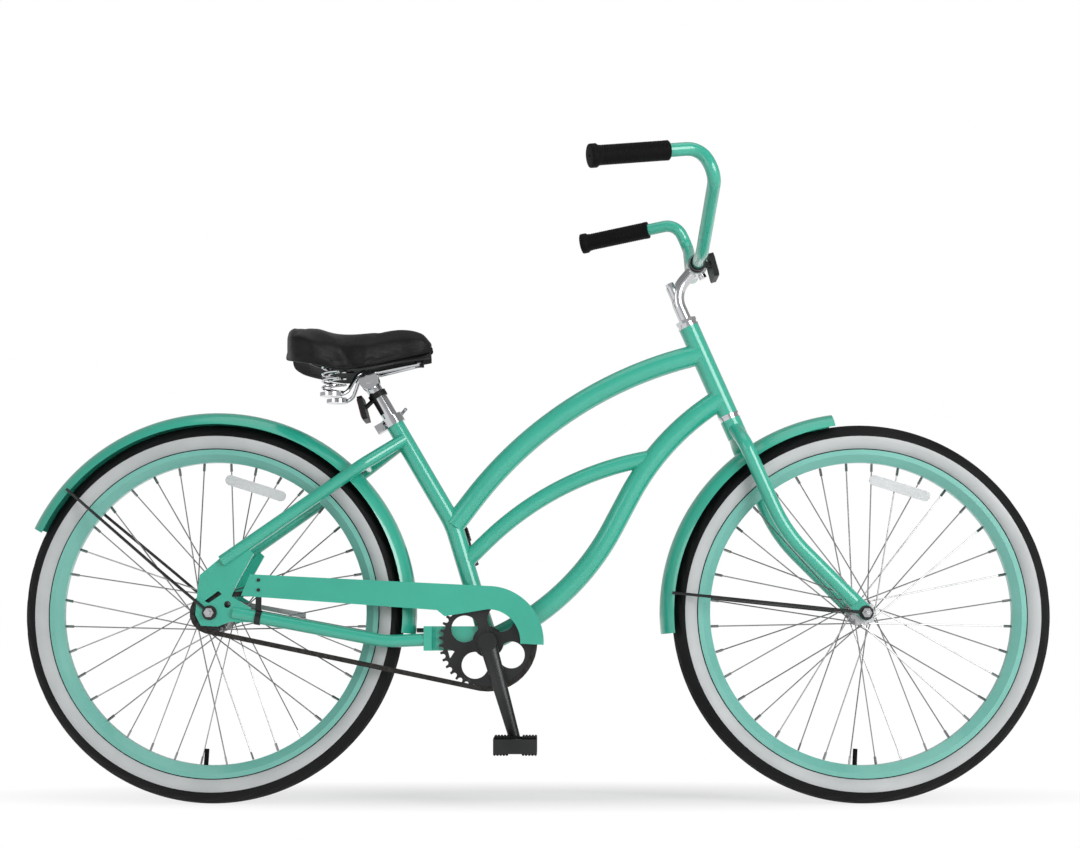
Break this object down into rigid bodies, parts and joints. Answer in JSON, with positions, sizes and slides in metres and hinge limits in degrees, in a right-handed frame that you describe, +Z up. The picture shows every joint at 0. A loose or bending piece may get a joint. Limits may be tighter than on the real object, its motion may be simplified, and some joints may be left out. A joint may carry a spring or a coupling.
{
  "type": "beach cruiser bicycle",
  "caption": "Single-speed step-through cruiser bicycle with curved frame tubes, swept-back handlebar, full fenders, chain guard, coaster brake and sprung saddle.",
  "frame": {"origin": "on the ground, in the middle plane, midway between the two axles", "axes": "+X forward along the wheelbase, +Y to the rider's left, +Z up"},
  "size_m": [1.788, 0.6796, 1.0916],
  "materials": {
    "teal_paint": "gloss enamel",
    "mint_rim_paint": "satin enamel on aluminium",
    "chrome": "polished",
    "bare_steel": "satin zinc",
    "dark_steel": "dark satin",
    "tyre": "matt tread with a white sidewall band",
    "black_rubber": "matt",
    "saddle_vinyl": "fine grain vinyl, semi-matt",
    "black_plastic": "matt",
    "clear_reflector": "prismatic",
    "red_reflector": "prismatic"
  },
  "bodies": {
    "frame": {"head_tube": "teal_paint", "top_tube": "teal_paint", "down_tube": "teal_paint", "brace_tube": "teal_paint", "seat_tube": "teal_paint", "bottom_bracket_shell": "teal_paint", "chain_stay_yoke": "teal_paint", "chain_stays": "teal_paint", "seat_stays": "teal_paint", "dropouts": "teal_paint", "headset_cups": "chrome", "bottom_bracket_cups": "dark_steel", "seat_collar": "chrome", "rear_fender": "teal_paint", "rear_fender_stays": "dark_steel", "chain_guard": "teal_paint", "chain_guard_strap": "dark_steel", "rear_axle": "bare_steel", "rear_axle_nuts": "chrome", "brake_arm": "bare_steel", "chain": "dark_steel"},
    "fork": {"fork_steerer": "teal_paint", "fork_blades": "teal_paint", "headset_bearings": "chrome", "front_fender": "teal_paint", "front_fender_stays": "dark_steel", "front_axle": "bare_steel", "front_axle_nuts": "chrome"},
    "stem": {"stem": "chrome", "stem_bolts": "chrome"},
    "handlebar": {"handlebar": "teal_paint", "grips": "black_rubber", "front_reflector": "clear_reflector"},
    "front_wheel": {"front_tyre": "tyre", "front_inner_tube": "black_rubber", "front_rim": "mint_rim_paint", "front_spokes": "bare_steel", "front_hub": "bare_steel", "front_spoke_reflector": "clear_reflector"},
    "rear_wheel": {"rear_tyre": "tyre", "rear_inner_tube": "black_rubber", "rear_rim": "mint_rim_paint", "rear_spokes": "bare_steel", "rear_hub": "bare_steel", "rear_spoke_reflector": "clear_reflector"},
    "driver": {"rear_cog": "dark_steel"},
    "crank": {"crank": "dark_steel", "chainring": "dark_steel", "crank_bearings": "dark_steel"},
    "pedal_right": {"pedal_right_body": "dark_steel", "pedal_right_blocks": "black_rubber"},
    "pedal_left": {"pedal_left_body": "dark_steel", "pedal_left_blocks": "black_rubber"},
    "seat_post": {"seat_post": "chrome", "rear_reflector": "red_reflector"},
    "saddle_frame": {"saddle_clamp": "chrome", "saddle_rails": "chrome", "saddle_springs": "chrome"},
    "saddle_top": {"saddle_pan": "black_plastic", "saddle_cushion": "saddle_vinyl"}
  },
  "joints": [
    {"name": "steer", "type": "hinge", "parent": "frame", "child": "fork", "pos_m": [0.3343, 0, 0.67912], "axis": [-0.4019, 0, 0.9157], "range_deg": [-75, 75]},
    {"name": "stem_height", "type": "slide", "parent": "fork", "child": "stem", "axis": [-0.4019, 0, 0.9157], "range_m": [0, 0.035]},
    {"name": "bar_tilt", "type": "hinge", "parent": "stem", "child": "handlebar", "pos_m": [0.28058, 0, 0.94424], "axis": [0, 1, 0], "range_deg": [-20, 20]},
    {"name": "front_wheel_spin", "type": "hinge", "parent": "fork", "child": "front_wheel", "pos_m": [0.564, 0, 0.33], "axis": [0, 1, 0], "continuous": true},
    {"name": "rear_wheel_spin", "type": "hinge", "parent": "frame", "child": "rear_wheel", "pos_m": [-0.564, 0, 0.33], "axis": [0, 1, 0], "continuous": true},
    {"name": "crank_spin", "type": "hinge", "parent": "frame", "child": "crank", "pos_m": [-0.08646, 0, 0.28], "axis": [0, 1, 0], "continuous": true, "deforming": ["chain"]},
    {"name": "driver_spin", "type": "hinge", "parent": "frame", "child": "driver", "pos_m": [-0.564, 0, 0.33], "axis": [0, 1, 0], "continuous": true},
    {"name": "pedal_right_spin", "type": "hinge", "parent": "crank", "child": "pedal_right", "pos_m": [-0.0374, -0.13, 0.1089], "axis": [0, 1, 0], "continuous": true},
    {"name": "pedal_left_spin", "type": "hinge", "parent": "crank", "child": "pedal_left", "pos_m": [-0.13553, 0.13, 0.4511], "axis": [0, 1, 0], "continuous": true},
    {"name": "seat_height", "type": "slide", "parent": "frame", "child": "seat_post", "axis": [-0.5075, 0, 0.8616], "range_m": [0, 0.05]},
    {"name": "saddle_tilt", "type": "hinge", "parent": "seat_post", "child": "saddle_frame", "pos_m": [-0.29829, 0, 0.73849], "axis": [0, 1, 0], "range_deg": [-8, 8]},
    {"name": "saddle_bounce", "type": "hinge", "parent": "saddle_frame", "child": "saddle_top", "pos_m": [-0.21029, 0, 0.77149], "axis": [0, 1, 0], "range_deg": [-3.5, 0], "stiffness_Nm_per_rad": 1900, "springref_deg": 0.23, "deforming": ["saddle_springs"]}
  ],
  "couplings": [
    {"joint": "driver_spin", "follows": "crank_spin", "ratio": 2.5}
  ]
}
